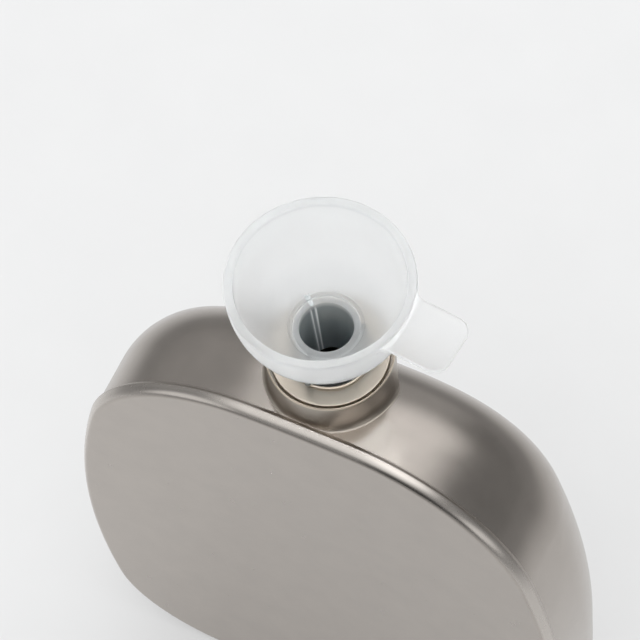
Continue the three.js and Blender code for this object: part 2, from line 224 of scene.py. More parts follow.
# White of milky plastic, also painted as highlight lines where the rib's sides show through the bore
MILK_AND_HIGHLIGHT_TONE = (0.97, 0.98, 0.985)
HAZE_SCALE = 240
HAZE_LEAST = 0.6
HAZE_MOST = 0.68
SKIN_SCALE = 900
SKIN_STRENGTH = 0.02
SKIN_DEPTH = 0.00003
PLASTIC_BEND = 1.2
PASSED = 0.9
PASSED_SHADED = 0.75
MILK_STOPS = 0.8

# Where the plastic is milky or carries painted shade: how much, how far from the bore, and at what share of
# the depth
WALL_MILK = 0.5
TUBE_MILK = 0.4
LEDGE_MILK = 0.1
# Painted shade on the ribs, the tube round the stem, the rim and the lower bowl
RIB_SHADE = 0.7
TUBE_SHADE = 0.15
RIM_SHADE = 0.18
LOWER_SHADE = 0.12
BORE_WITHIN = STEM_WALL / 4
RIB_FROM = 1.1 * STEM_WALL
MILK_FULL = 0.3
MILK_END = 0.6
# Shares of the bowl's depth where the painted shade of the lower bowl starts and is full
SHADE_START = 0.7
SHADE_FULL = 0.95

# Floor of studio paper; mirrored in the metal it fades with the distance from a place beside the flask
FLOOR_SIZE = 6.0
PAPER_SCALE = 60
PAPER_DARK = (0.365, 0.368, 0.37)
PAPER_LIGHT = (0.375, 0.378, 0.38)
PAPER_FADED = (0.12, 0.12, 0.12)
PAPER_GLOW = 0.3
PAPER_FADED_GLOW = 0.1
PAPER_ROUGHNESS = 0.9
PAPER_SHINE = 0.2
TABLE_CENTRE = (-0.04, 0.01, 0)
TABLE_BRIGHT = 0.095
TABLE_DIM = 0.4

# Light from above, and the pale ground behind everything
SKY_STRENGTH = 2.6
SKY_ANGLE = math.radians(120)
SKY_PLACE = (-0.2, 0.1, 1)
GROUND_LEVEL = 0.84

# Patches of light and shade in the room: azimuth, elevation, inner and outer angle in degrees, and strength
ROOM_LEVEL = 0.23
ROOM_LIGHTS = (
    (14, 56, 6, 38, 1.0),
    (180, 70, 15, 42, 0.85),
    (125, 72, 10, 28, 0.7),
    (-60, 32, 10, 50, 0.2),
    (-5, 10, 6, 26, 0.25),
    (-138, 12, 14, 28, 0.65),
    (122, 6, 10, 24, 0.7),
)
ROOM_SHADE = (168, 6, 14, 30, 0.9)

# Camera, fitted to the photograph with an image of 640 by 640 pixels
IMAGE_PIXELS = 640
FOCAL_PIXELS = 3500
SENSOR_MM = 36
CAMERA_ELEVATION = math.radians(62.0)
CAMERA_ROLL = math.radians(-8.25)
CAMERA_TURN = math.radians(32.95)
CAMERA_OFFSET = Vector((-0.0000126, 0.0063054, 0.569115))
CLIP_NEAR = 0.01
CLIP_FAR = 50


def smoothstep(value, low, high):
    share = np.clip((value - low) / (high - low), 0, 1)
    return share * share * (3 - 2 * share)


def arc(centre, radius, start, end, steps):
    """Points of an arc with their outward directions, without the last one."""
    angle = np.linspace(start, end, steps, endpoint=False)
    out = np.stack([np.cos(angle), np.sin(angle)], 1)
    return np.hstack([np.asarray(centre) + radius * out, out])


def bezier(a, b, c, steps):
    """Points of a quadratic curve from a to c with control point b."""
    a, b, c = (np.asarray(p, float) for p in (a, b, c))
    t = np.linspace(0, 1, steps + 1)[:, None]
    return (1 - t) ** 2 * a + 2 * t * (1 - t) * b + t ** 2 * c


def outline(base_level):
    """Stations of the body's outline, clockwise from the top: x, z and the outward direction."""
    crown = np.array([0, SHOULDER_HEIGHT - CROWN_RADIUS])
    flank = np.array([BODY_WIDTH / 2 - FLANK_RADIUS, FLANK_HEIGHT])
    span = np.linalg.norm(flank - crown)
    unit = (flank - crown) / span
    crown_reach = CROWN_RADIUS - SHOULDER_RADIUS
    flank_reach = FLANK_RADIUS - SHOULDER_RADIUS
    along = (crown_reach ** 2 - flank_reach ** 2 + span ** 2) / (2 * span)
    across = math.sqrt(crown_reach ** 2 - along ** 2)
    shoulder = crown + along * unit + across * np.array([unit[1], -unit[0]])
    corner_z = base_level + BASE_CORNER_RADIUS
    corner_reach = FLANK_RADIUS - BASE_CORNER_RADIUS
    corner_x = flank[0] + math.sqrt(corner_reach ** 2 - (corner_z - FLANK_HEIGHT) ** 2)
    crown_end = math.atan2(shoulder[1] - crown[1], shoulder[0] - crown[0])
    flank_top = math.atan2(shoulder[1] - flank[1], shoulder[0] - flank[0])
    flank_end = math.atan2(corner_z - FLANK_HEIGHT, corner_x - flank[0])
    base_x = corner_x * (1 - np.arange(BASE_STEPS) / BASE_STEPS)
    base = np.stack([base_x, np.full(BASE_STEPS, base_level), np.zeros(BASE_STEPS), -np.ones(BASE_STEPS)], 1)
    right = np.vstack([
        arc(crown, CROWN_RADIUS, math.pi / 2, crown_end, CROWN_STEPS),
        arc(shoulder, SHOULDER_RADIUS, crown_end, flank_top, SHOULDER_STEPS),
        arc(flank, FLANK_RADIUS, flank_top, flank_end, FLANK_STEPS),
        arc((corner_x, corner_z), BASE_CORNER_RADIUS, flank_end, -math.pi / 2, CORNER_STEPS),
        base,
    ])
    left = right[1:][::-1] * np.array([-1, 1, -1, 1])
    return np.vstack([right, [[0, base_level, 0, -1]], left])


def placed(x, z, depth):
    """Place in the flask of points of the outline's plane at some depth behind the front plane."""
    bow = -(x ** 2) / (2 * FACE_BOW_RADIUS) * (1 - depth / BODY_DEPTH)
    return np.stack([x, depth - NECK_SETBACK + bow, z], 1)


def ring(stations, inset, depth):
    x = stations[:, 0] - stations[:, 2] * inset
    z = stations[:, 1] - stations[:, 3] * inset
    return placed(x, z, depth + np.zeros(len(x)))


def edge_radius(stations):
    """Radius of the back edge: large behind the neck, less at the flanks, least along the base."""
    side = smoothstep(np.abs(stations[:, 0]), FOOT_RADIUS, BODY_WIDTH / 2)
    upper = CROWN_EDGE_RADIUS + (FLANK_EDGE_RADIUS - CROWN_EDGE_RADIUS) * side
    return BASE_EDGE_RADIUS + (upper - BASE_EDGE_RADIUS) * smoothstep(stations[:, 1], 0, FLANK_HEIGHT)


def fill(stations, inset, depth, crown, rings):
    """Rings from just inside an edge to the middle of a face, with a crown that swells backwards."""
    rows = []
    middle = SHOULDER_HEIGHT / 2
    for share in np.linspace(1, 0, rings + 1)[1:-1]:
        x = (stations[:, 0] - stations[:, 2] * inset) * share
        z = middle + (stations[:, 1] - stations[:, 3] * inset - middle) * share
        swell = crown * (1 - share ** 2) ** 2
        rows.append(placed(x, z, np.full(len(x), depth)) + np.array([0, swell, 0]))
    rows.append(placed(np.zeros(1), np.full(1, middle), np.full(1, depth)) + np.array([0, crown, 0]))
    return rows


def lofted(rows, wrapped=False):
    """Corners and faces that skin rows of points; each row is a closed ring or one point."""
    corners, starts, faces = [], [], []
    for row in rows:
        starts.append(len(corners))
        corners.extend(row.tolist())
    steps = max(len(row) for row in rows)
    pairs = list(range(len(rows))) if wrapped else list(range(len(rows) - 1))
    for i in pairs:
        j = (i + 1) % len(rows)
        one, two = len(rows[i]), len(rows[j])
        for k in range(steps):
            a, b = starts[i] + k % one, starts[i] + (k + 1) % one
            c, d = starts[j] + (k + 1) % two, starts[j] + k % two
            face = [a, b, c, d]
            faces.append([p for n, p in enumerate(face) if p not in face[:n]])
    return corners, faces


def turned(profile, steps=ROUND_STEPS):
    """Corners and faces of a closed profile of radius and height, turned about Z."""
    profile = np.asarray(profile, float)
    angle = np.linspace(0, 2 * math.pi, steps, endpoint=False)
    rows = [np.stack([r * np.cos(angle), r * np.sin(angle), np.full(steps, z)], 1) for r, z in profile]
    return lofted(rows, wrapped=True)


def new_object(name, corners, faces):
    mesh = bpy.data.meshes.new(name)
    mesh.from_pydata(corners, [], faces)
    work = bmesh.new()
    work.from_mesh(mesh)
    bmesh.ops.remove_doubles(work, verts=work.verts, dist=1e-7)
    bmesh.ops.recalc_face_normals(work, faces=work.faces)
    work.to_mesh(mesh)
    work.free()
    piece = bpy.data.objects.new(name, mesh)
    bpy.context.scene.collection.objects.link(piece)
    return piece


def combine(piece, tool, operation):
    """Joins or cuts a piece with a tool, which is then removed."""
    modifier = piece.modifiers.new("combine", "BOOLEAN")
    modifier.operation = operation
    modifier.solver = "EXACT"
    modifier.object = tool
    bpy.context.view_layer.update()
    made = bpy.data.meshes.new_from_object(piece.evaluated_get(bpy.context.evaluated_depsgraph_get()))
    piece.modifiers.clear()
    old = piece.data
    piece.data = made
    made.name = piece.name
    bpy.data.meshes.remove(old)
    tool_mesh = tool.data
    bpy.data.objects.remove(tool)
    bpy.data.meshes.remove(tool_mesh)


def add_amount(piece, name, amounts):
    """Stores an amount from 0 to 1 at each corner of a piece, for its material."""
    attribute = piece.data.attributes.new(name, "FLOAT", "POINT")
    attribute.data.foreach_set("value", np.asarray(amounts, np.float32))


def corner_array(piece):
    flat = np.zeros(len(piece.data.vertices) * 3)
    piece.data.vertices.foreach_get("co", flat)
    return flat.reshape(-1, 3)


def dress(piece, body, node, material, sharp_degrees):
    """Shades a piece, gives it its material and sets it on the CAD body in place of a node."""
    piece.data.shade_smooth()
    piece.data.set_sharp_from_angle(angle=math.radians(sharp_degrees))
    piece.data.materials.clear()
    piece.data.materials.append(material)
    weighted = piece.modifiers.new("weighted_normals", "WEIGHTED_NORMAL")
    weighted.keep_sharp = True
    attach(piece, body)
    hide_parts(node)


# Materials


def add_node(tree, kind, **values):
    node = tree.nodes.new(kind)
    for key, value in values.items():
        setattr(node, key, value)
    return node


def noise(tree, vector, scale, detail, roughness=0.55):
    node = add_node(tree, "ShaderNodeTexNoise")
    node.inputs["Scale"].default_value = scale
    node.inputs["Detail"].default_value = detail
    node.inputs["Roughness"].default_value = roughness
    tree.links.new(vector, node.inputs["Vector"])
    return node.outputs["Fac"]


def ranged(tree, value, low, high, from_low=0.3, from_high=0.7):
    node = add_node(tree, "ShaderNodeMapRange")
    node.inputs["From Min"].default_value = from_low
    node.inputs["From Max"].default_value = from_high
    node.inputs["To Min"].default_value = low
    node.inputs["To Max"].default_value = high
    tree.links.new(value, node.inputs["Value"])
    return node.outputs["Result"]


def math_node(tree, operation, a, b):
    node = add_node(tree, "ShaderNodeMath", operation=operation)
    for socket, value in zip(node.inputs, (a, b)):
        if isinstance(value, (int, float)):
            socket.default_value = value
        else:
            tree.links.new(value, socket)
    return node.outputs["Value"]


def colour_mix(tree, factor, a, b):
    node = add_node(tree, "ShaderNodeMix", data_type="RGBA")
    tree.links.new(factor, node.inputs["Factor"])
    for socket, value in ((node.inputs[6], a), (node.inputs[7], b)):
        if isinstance(value, tuple):
            socket.default_value = (*value, 1)
        else:
            tree.links.new(value, socket)
    return node.outputs[2]


def new_material(name):
    material = bpy.data.materials.new(name)
    material.use_nodes = True
    tree = material.node_tree
    shader = tree.nodes["Principled BSDF"]
    place = add_node(tree, "ShaderNodeTexCoord").outputs["Object"]
    return material, tree, shader, place


def bump(tree, shader, height, strength, distance):
    node = add_node(tree, "ShaderNodeBump")
    node.inputs["Strength"].default_value = strength
    node.inputs["Distance"].default_value = distance
    tree.links.new(height, node.inputs["Height"])
    tree.links.new(node.outputs["Normal"], shader.inputs["Normal"])


def titanium(name, finish, turned_rings=False):
    """Satin titanium: clouds of tone, a fine blasted grain, edges polished by handling, and a painted
    reflection on the bush's disc.
    """
    dark, light, worn, smooth, rough, grain = finish
    material, tree, shader, place = new_material(name)
    clouds = noise(tree, place, CLOUD_SCALE, 4, 0.5)
    specks = noise(tree, place, SPECK_SCALE, 2)
    fine = noise(tree, place, GRAIN_SCALE, 2)
    wear_and_reflection = add_node(tree, "ShaderNodeAttribute", attribute_name="wear_and_reflection").outputs["Fac"]
    tone = colour_mix(tree, ranged(tree, clouds, 0, 1), dark, light)
    # Worn edges, and the painted reflection on the bush's disc, lighten the tone
    tone = colour_mix(tree, wear_and_reflection, tone, worn)
    tree.links.new(tone, shader.inputs["Base Color"])
    cloud_part = math_node(tree, "MULTIPLY", clouds, CLOUD_SHARE)
    speck_part = math_node(tree, "MULTIPLY", specks, SPECK_SHARE)
    mottle = math_node(tree, "ADD", cloud_part, speck_part)
    polished = math_node(tree, "MULTIPLY", wear_and_reflection, WEAR_POLISH)
    satin = math_node(tree, "SUBTRACT", ranged(tree, mottle, smooth, rough), polished)
    tree.links.new(satin, shader.inputs["Roughness"])
    height = math_node(tree, "ADD", fine, math_node(tree, "MULTIPLY", specks, GRAIN_SPECKS))
    if turned_rings:
        wave = add_node(tree, "ShaderNodeTexWave", wave_type="RINGS", rings_direction="Z")
        wave.inputs["Scale"].default_value = RING_SCALE
        wave.inputs["Distortion"].default_value = RING_BEND
        tree.links.new(place, wave.inputs["Vector"])
        height = math_node(tree, "ADD", height, math_node(tree, "MULTIPLY", wave.outputs["Fac"], RING_SHARE))
    bump(tree, shader, height, grain, GRAIN_DEPTH)
    shader.inputs["Metallic"].default_value = 1
    return material


def polypropylene(name):
    """Translucent natural polypropylene, with milky places, painted shade and painted highlight lines."""
    material, tree, shader, place = new_material(name)
    haze = noise(tree, place, HAZE_SCALE, 3)
    painted_shade = add_node(tree, "ShaderNodeAttribute", attribute_name="painted_shade").outputs["Fac"]
    milk_and_highlights = add_node(tree, "ShaderNodeAttribute", attribute_name="milk_and_highlights").outputs["Fac"]
    painted_rib_shade = add_node(tree, "ShaderNodeAttribute", attribute_name="painted_rib_shade").outputs["Fac"]
    tone = colour_mix(tree, ranged(tree, haze, 0, 1), PLASTIC_DARK, PLASTIC_LIGHT)
    # Painted shade darkens the tone in the bore, on the ribs, the tube, the rim and the lower bowl
    tone = colour_mix(tree, painted_shade, tone, PAINTED_SHADE_TONE)
    # Painted shade where the rib's top shows through the floor
    tone = colour_mix(tree, painted_rib_shade, tone, RIB_SHADE_TONE)
    # Milky places and painted highlight lines whiten the tone
    tone = colour_mix(tree, milk_and_highlights, tone, MILK_AND_HIGHLIGHT_TONE)
    tree.links.new(tone, shader.inputs["Base Color"])
    tree.links.new(ranged(tree, haze, HAZE_LEAST, HAZE_MOST), shader.inputs["Roughness"])
    # Less light passes where shade is painted
    through = ranged(tree, painted_shade, PASSED, PASSED_SHADED, 0, 1)
    stopped = math_node(tree, "MULTIPLY", math_node(tree, "MAXIMUM", milk_and_highlights, painted_rib_shade), MILK_STOPS)
    passed = math_node(tree, "MULTIPLY", through, math_node(tree, "SUBTRACT", 1, stopped))
    tree.links.new(passed, shader.inputs["Transmission Weight"])
    skin = noise(tree, place, SKIN_SCALE, 2)
    bump(tree, shader, skin, SKIN_STRENGTH, SKIN_DEPTH)
    shader.inputs["IOR"].default_value = PLASTIC_BEND
    return material


def floor_paper(name):
    """Pale matt studio paper. Mirrored in the metal it fades away from the flask, as a lit table does."""
    material, tree, shader, place = new_material(name)
    fibre = noise(tree, place, PAPER_SCALE, 6)
    tone = colour_mix(tree, ranged(tree, fibre, 0, 1), PAPER_DARK, PAPER_LIGHT)
    away = add_node(tree, "ShaderNodeVectorMath", operation="DISTANCE")
    tree.links.new(place, away.inputs[0])
    away.inputs[1].default_value = TABLE_CENTRE
    faded = ranged(tree, away.outputs["Value"], 0, 1, TABLE_BRIGHT, TABLE_DIM)
    path = add_node(tree, "ShaderNodeLightPath")
    mirrored = math_node(tree, "SUBTRACT", path.outputs["Is Glossy Ray"], path.outputs["Is Transmission Ray"])
    dim = math_node(tree, "MULTIPLY", faded, mirrored)
    tree.links.new(colour_mix(tree, dim, tone, PAPER_FADED), shader.inputs["Base Color"])
    tree.links.new(ranged(tree, dim, PAPER_GLOW, PAPER_FADED_GLOW, 0, 1), shader.inputs["Emission Strength"])
    shader.inputs["Emission Color"].default_value = (1, 1, 1, 1)
    shader.inputs["Roughness"].default_value = PAPER_ROUGHNESS
    shader.inputs["Specular IOR Level"].default_value = PAPER_SHINE
    return material


# Pieces of the flask


def body_shell():
    stations = outline(0)
    radius = edge_radius(stations)
    front = WELD_DEPTH + WELD_GAP

    def back_skin(wall, steps, rings):
        rows = []
        for turn in np.linspace(0, math.pi / 2, steps + 1):
            inset = radius - (radius - wall) * math.cos(turn)
            rows.append(ring(stations, inset, BODY_DEPTH - radius + (radius - wall) * math.sin(turn)))
        return rows + fill(stations, radius, BODY_DEPTH - wall, BACK_CROWN, rings)

    outer = [ring(stations, SHELL_LIP, front), ring(stations, 0, front + SHELL_LIP)]
    for share in np.linspace(0, 1, BAND_STEPS, endpoint=False)[1:]:
        start = front + SHELL_LIP
        outer.append(ring(stations, 0, start + (BODY_DEPTH - radius - start) * share))
    outer += back_skin(0, EDGE_STEPS, FACE_RINGS)
    inner = [ring(stations, SHELL_WALL, front)] + back_skin(SHELL_WALL, EDGE_STEPS // 2, FACE_RINGS)
    piece = new_object("shell", *lofted(inner[::-1] + outer))
    hole_radius = SLEEVE_RADIUS + SLEEVE_CLEARANCE
    low = SHOULDER_HEIGHT - CROWN_EDGE_RADIUS
    hole_profile = [(0, low), (hole_radius, low), (hole_radius, COLLAR_TOP), (0, COLLAR_TOP)]
    hole = new_object("hole", *turned(hole_profile))
    combine(piece, hole, "DIFFERENCE")
    add_amount(piece, "wear_and_reflection", np.zeros(len(piece.data.vertices)))
    return piece


def face_plate():
    stations = outline(EDGE_PROUD)
    heel = [(HEEL_CENTRE - HEEL_ROUND * math.cos(t), HEEL_DEPTH - HEEL_ROUND * math.sin(t))
            for t in np.linspace(EDGE_TILT, -HEEL_LEAN, HEEL_POINTS)]
    reach = heel[0][1] - EDGE_END_DEPTH
    bend = (heel[0][0] + reach * math.tan(EDGE_TILT), EDGE_END_DEPTH)
    profile = list(bezier((EDGE_END_INSET, EDGE_END_DEPTH), bend, heel[0], ROLL_STEPS))
    profile += heel[1:]
    profile += list(bezier(heel[-1], (0, WELD_CORNER), (0, WELD_DEPTH), WELD_STEPS)[1:])
    profile += [(SHELL_WALL, WELD_DEPTH), (2 * SHELL_WALL, SEAM_DEPTH)]
    rows = fill(stations, EDGE_END_INSET, EDGE_END_DEPTH, FACE_RECESS - EDGE_END_DEPTH, FACE_RINGS)[::-1]
    rows += [ring(stations, inset, depth) for inset, depth in profile]
    rows += fill(stations, 2 * SHELL_WALL, SEAM_DEPTH, 0, FACE_RINGS // 2)
    piece = new_object("face", *lofted(rows))
    normals = np.zeros(len(piece.data.vertices) * 3)
    piece.data.vertices.foreach_get("normal", normals)
    forward = -normals.reshape(-1, 3)[:, 1]
    turned_up = smoothstep(forward, EDGE_WEAR_START, EDGE_WEAR_FULL)
    facing = smoothstep(forward, EDGE_WEAR_LAST, EDGE_WEAR_END)
    add_amount(piece, "wear_and_reflection", turned_up * (1 - facing))
    return piece


def seat_height(x, y):
    """Height of the surface under the collar, a little below the shoulder's."""
    bow = -(x ** 2) / (2 * FACE_BOW_RADIUS)
    depth = (y + NECK_SETBACK - bow) / (1 - bow / BODY_DEPTH)
    seat_radius = CROWN_EDGE_RADIUS - FOOT_SINK
    sine = np.clip((depth - BODY_DEPTH + CROWN_EDGE_RADIUS) / seat_radius, 0, 1)
    drop = CROWN_EDGE_RADIUS - seat_radius * np.sqrt(1 - sine ** 2)
    return SHOULDER_HEIGHT - CROWN_RADIUS + np.sqrt((CROWN_RADIUS - drop) ** 2 - x ** 2)


def neck_collar():
    ledge = FLANGE_BOTTOM - SEAT_GAP
    waist = COLLAR_RADIUS - COLLAR_WAIST
    inner = RECESS_RADIUS - COLLAR_LEDGE_WIDTH
    least = inner + FOOT_MIN_WIDTH
    front_limit = NECK_SETBACK - WELD_DEPTH
    back_foot = min(FOOT_RADIUS, max(BODY_DEPTH - NECK_SETBACK - FOOT_MARGIN, least))
    half_rim = COLLAR_RIM_WIDTH / 2
    quarter = np.linspace(0, math.pi / 2, COLLAR_ARC_POINTS)
    rim_out = np.stack([COLLAR_RADIUS - half_rim + half_rim * np.cos(quarter),
                        COLLAR_TOP - COLLAR_EDGE + COLLAR_EDGE * np.sin(quarter)], 1)
    rim_in = np.stack([COLLAR_RADIUS - half_rim - half_rim * np.sin(quarter),
                       COLLAR_TOP - COLLAR_EDGE / 2 + COLLAR_EDGE / 2 * np.cos(quarter)], 1)
    wall_top = rim_out[0]
    cove_top = np.array([waist, SHOULDER_HEIGHT + COLLAR_WAIST_HEIGHT])
    rows = []
    for angle in np.linspace(0, 2 * math.pi, ROUND_STEPS, endpoint=False):
        cosine, sine = math.cos(angle), math.sin(angle)
        trimmed = min(FOOT_RADIUS, front_limit / -sine) if sine < 0 else FOOT_RADIUS
        share = float(smoothstep(sine, 0, FOOT_TAPER))
        foot = max(trimmed, least) * (1 - share) + back_foot * share

        def seat(r, lift=0.0):
            return np.array([r, float(seat_height(np.float64(r * cosine), np.float64(r * sine))) + lift])

        under = [seat(r) for r in np.linspace(inner, foot - FOOT_ROUND / 2, 8)]
        edge = bezier(under[-1], seat(foot), seat(foot, FOOT_EDGE - FOOT_ROUND), 4)[1:]
        corner = seat(foot, FOOT_EDGE)
        start = seat(foot, FOOT_EDGE) + np.array([-FOOT_ROUND, 0])
        shoulder = bezier(edge[-1], corner, start, 5)[1:]
        bend = seat(min(foot, waist), FOOT_EDGE)
        cove = bezier(start, bend, cove_top, COVE_STEPS)[1:]
        wall = [cove_top + (wall_top - cove_top) * s for s in np.linspace(0, 1, 6)[1:-1]]
        profile = [*under, *edge, *shoulder, *cove, *wall, *rim_out, *rim_in[1:],
                   np.array([RECESS_RADIUS, ledge]), np.array([inner, ledge])]
        rows.append(np.array([[p[0] * cosine, p[0] * sine, p[1]] for p in profile]))
    piece = new_object("collar", *lofted(rows, wrapped=True))
    heights = corner_array(piece)[:, 2]
    worn = smoothstep(heights, COLLAR_TOP - RIM_WEAR_START, COLLAR_TOP - RIM_WEAR_FULL)
    add_amount(piece, "wear_and_reflection", worn)
    return piece


def mouth_bush():
    sleeve_foot = FLANGE_TOP - SLEEVE_LENGTH
    dish = FLANGE_TOP - FLANGE_DISH
    centre = MOUTH_RADIUS + LIP_EDGE
    spring = LIP_TOP - LIP_EDGE
    quarter = np.linspace(0, math.pi / 2, BUSH_ARC_POINTS)
    flange_edge = [(FLANGE_RADIUS - FLANGE_EDGE + FLANGE_EDGE * math.cos(t),
                    FLANGE_TOP - FLANGE_EDGE + FLANGE_EDGE * math.sin(t)) for t in quarter]
    lip_foot = np.array([MOUTH_RADIUS + LIP_WIDTH, dish])
    dished = [np.array(flange_edge[-1]) * (1 - s) + lip_foot * s for s in np.linspace(0, 1, 8)[1:-1]]
    outside = [(centre + LIP_EDGE * math.cos(t), spring + LIP_EDGE * math.sin(t)) for t in quarter]
    inside = [(centre - LIP_EDGE * math.sin(t), spring + LIP_EDGE * math.cos(t)) for t in quarter[1:]]
    piece = new_object("bush", *turned([
        (MOUTH_RADIUS, sleeve_foot), (SLEEVE_RADIUS, sleeve_foot), (SLEEVE_RADIUS, FLANGE_BOTTOM),
        (FLANGE_RADIUS, FLANGE_BOTTOM), *flange_edge, *dished, lip_foot, *outside, *inside,
    ]))
    steps = THREAD_STEPS * THREAD_TURNS
    low = LIP_TOP - THREAD_START - THREAD_PITCH * THREAD_TURNS
    rows = []
    for share in np.linspace(0, 1, steps + 1):
        angle = 2 * math.pi * THREAD_TURNS * share
        fade = min(1, share * THREAD_TURNS * 4, (1 - share) * THREAD_TURNS * 4)
        size = THREAD_RADIUS * (0.25 + 0.75 * fade)
        around = np.linspace(0, 2 * math.pi, THREAD_SIDES, endpoint=False)
        r = MOUTH_RADIUS + (THREAD_RADIUS - size) + size * np.cos(around)
        z = low + THREAD_PITCH * THREAD_TURNS * share + size * np.sin(around)
        rows.append(np.stack([r * math.cos(angle), r * math.sin(angle), z], 1))
    first = rows[0].mean(0, keepdims=True)
    last = rows[-1].mean(0, keepdims=True)
    thread = new_object("thread", *lofted([first, *rows, last]))
    combine(piece, thread, "UNION")
    points = corner_array(piece)
    radius = np.hypot(points[:, 0], points[:, 1])
    lip_radius = MOUTH_RADIUS + LIP_WIDTH
    lip = smoothstep(points[:, 2], dish + LIP_HEIGHT / 2, LIP_TOP) * (radius < lip_radius + LIP_EDGE)
    # Painted reflection of the funnel's underside: the disc is lighter away from the lip
    reflected_disc = smoothstep(radius, lip_radius, lip_radius + 2 * LIP_WIDTH) * (points[:, 2] > FLANGE_BOTTOM)
    add_amount(piece, "wear_and_reflection", np.maximum(lip, DISC_REFLECTION * reflected_disc))
    return piece


# Funnel, with the rim's top at zero until it is set in the mouth


def bore_radius(below):
    return BORE_TOP_RADIUS + (BORE_FOOT_RADIUS - BORE_TOP_RADIUS) * below / STEM_LENGTH


def bowl_curve(share):
    """Share of a bowl's full depth at a share of its radius, or the reverse: a full ellipse."""
    return (1 - share ** BOWL_FULLNESS) ** (1 / BOWL_FULLNESS)


BOWL_HALF = BOWL_DEPTH / bowl_curve(LEDGE_RADIUS / BOWL_RADIUS)
OUTER_HALF = (BOWL_DEPTH + BOWL_FLOOR) / bowl_curve(OUTER_FOOT / RIM_RADIUS)


def bowl_middle(r):
    """Height of the middle of the bowl's wall at a radius."""
    inside = BOWL_HALF * bowl_curve(min(max(r, LEDGE_RADIUS) / BOWL_RADIUS, 1))
    outside = OUTER_HALF * bowl_curve(min(r / RIM_RADIUS, 1))
    return -(inside + outside) / 2


def bowl_skin(radius, half, foot):
    """Profile of the bowl from its foot up to the rim's edge."""
    start = math.acos((foot / radius) ** (BOWL_FULLNESS / 2))
    end = math.asin((RIM_EDGE / half) ** (BOWL_FULLNESS / 2))
    power = 2 / BOWL_FULLNESS
    turns = np.linspace(start, end, BOWL_POINTS)
    return [(radius * math.cos(t) ** power, -half * math.sin(t) ** power) for t in turns]


def funnel_bowl():
    floor = -BOWL_DEPTH
    foot = floor - STEM_LENGTH
    shelf = LEDGE_RADIUS + LEDGE_SHELF
    inner = bowl_skin(BOWL_RADIUS, BOWL_HALF, shelf)
    outer = bowl_skin(RIM_RADIUS, OUTER_HALF, OUTER_FOOT)[::-1]
    ledge = floor - LEDGE_STEP
    bore_start = (bore_radius(BORE_EDGE), ledge - BORE_EDGE)
    bore_end = (BORE_TOP_RADIUS + BORE_EDGE, ledge)
    bore_edge = bezier(bore_start, (BORE_TOP_RADIUS, ledge), bore_end, LIP_STEPS)
    slope = LEDGE_STEP / 3
    step = [(LEDGE_RADIUS - slope, ledge), (LEDGE_RADIUS, floor), (shelf - slope, floor + slope)]
    lip_in = bezier(inner[-1], (BOWL_RADIUS, 0), (BOWL_RADIUS + RIM_EDGE, 0), LIP_STEPS)[1:]
    lip_out = bezier((RIM_RADIUS - RIM_EDGE, 0), (RIM_RADIUS, 0), outer[0], LIP_STEPS)[:-1]
    wall = STEM_WALL
    foot_round = bezier((BORE_FOOT_RADIUS + wall, foot + wall / 4), (BORE_FOOT_RADIUS + wall, foot),
                        (BORE_FOOT_RADIUS + wall * 3 / 4, foot), 4)
    drops = np.linspace(STEM_LENGTH, LEDGE_STEP + BORE_EDGE, STEM_POINTS)[:-1]
    stem = [(bore_radius(drop), floor - drop) for drop in drops]
    outer_top = np.array(outer[-1])
    outer_stem = [outer_top + (foot_round[0] - outer_top) * s for s in np.linspace(0, 1, STEM_POINTS)[1:-1]]
    return turned([*stem, *bore_edge, *step, *inner, *lip_in, *lip_out, *outer, *outer_stem, *foot_round])


def extruded(shape, low, high, edge):
    """Corners and faces of a flat shape with slightly rounded edges; the shape is anticlockwise."""
    shape = np.asarray(shape, float)
    ahead = np.roll(shape, -1, 0) - shape
    behind = shape - np.roll(shape, 1, 0)
    along = ahead / np.linalg.norm(ahead, axis=1)[:, None] + behind / np.linalg.norm(behind, axis=1)[:, None]
    along /= np.linalg.norm(along, axis=1)[:, None]
    inward = np.stack([-along[:, 1], along[:, 0]], 1)
    rows = []
    for turn in np.linspace(math.pi / 2, 0, 5):
        rows.append((edge * (1 - math.cos(turn)), low + edge * (1 - math.sin(turn))))
    for turn in np.linspace(0, math.pi / 2, 5):
        rows.append((edge * (1 - math.cos(turn)), high - edge * (1 - math.sin(turn))))
    rings = [np.hstack([shape + inward * inset, np.full((len(shape), 1), z)]) for inset, z in rows]
    corners, faces = lofted(rings)
    count = len(shape)
    faces.append(list(range(count))[::-1])
    faces.append(list(range(len(corners) - count, len(corners))))
    return corners, faces


def funnel_tab():
    half = TAB_WIDTH / 2
    reach = RIM_RADIUS + TAB_LENGTH
    root = RIM_RADIUS - RIM_WIDTH / 2
    fillet_y = half + TAB_FILLET
    fillet_x = math.sqrt((RIM_RADIUS + TAB_FILLET) ** 2 - fillet_y ** 2)
    spread = math.atan2(fillet_y, fillet_x)

    def sweep(x, y, radius, start, end, steps):
        return [(x + radius * math.cos(t), y + radius * math.sin(t)) for t in np.linspace(start, end, steps)]

    shape = [
        (root * math.cos(spread), -root * math.sin(spread)),
        *sweep(fillet_x, -fillet_y, TAB_FILLET, math.pi - spread, math.pi / 2, 12),
        *sweep(reach - TAB_CORNER, -half + TAB_CORNER, TAB_CORNER, -math.pi / 2, 0, 14),
        *sweep(reach - TAB_CORNER, half - TAB_CORNER, TAB_CORNER, 0, math.pi / 2, 14),
        *sweep(fillet_x, fillet_y, TAB_FILLET, -math.pi / 2, spread - math.pi, 12),
        *sweep(0, 0, root, spread, -spread, 14)[:-1],
    ]
    corners, faces = extruded(shape, -TAB_DROP - TAB_THICKNESS, -TAB_DROP, TAB_EDGE)
    tab = new_object("tab", corners, faces)
    tab.data.transform(Matrix.Rotation(TAB_ANGLE, 4, "Z"))
    return tab


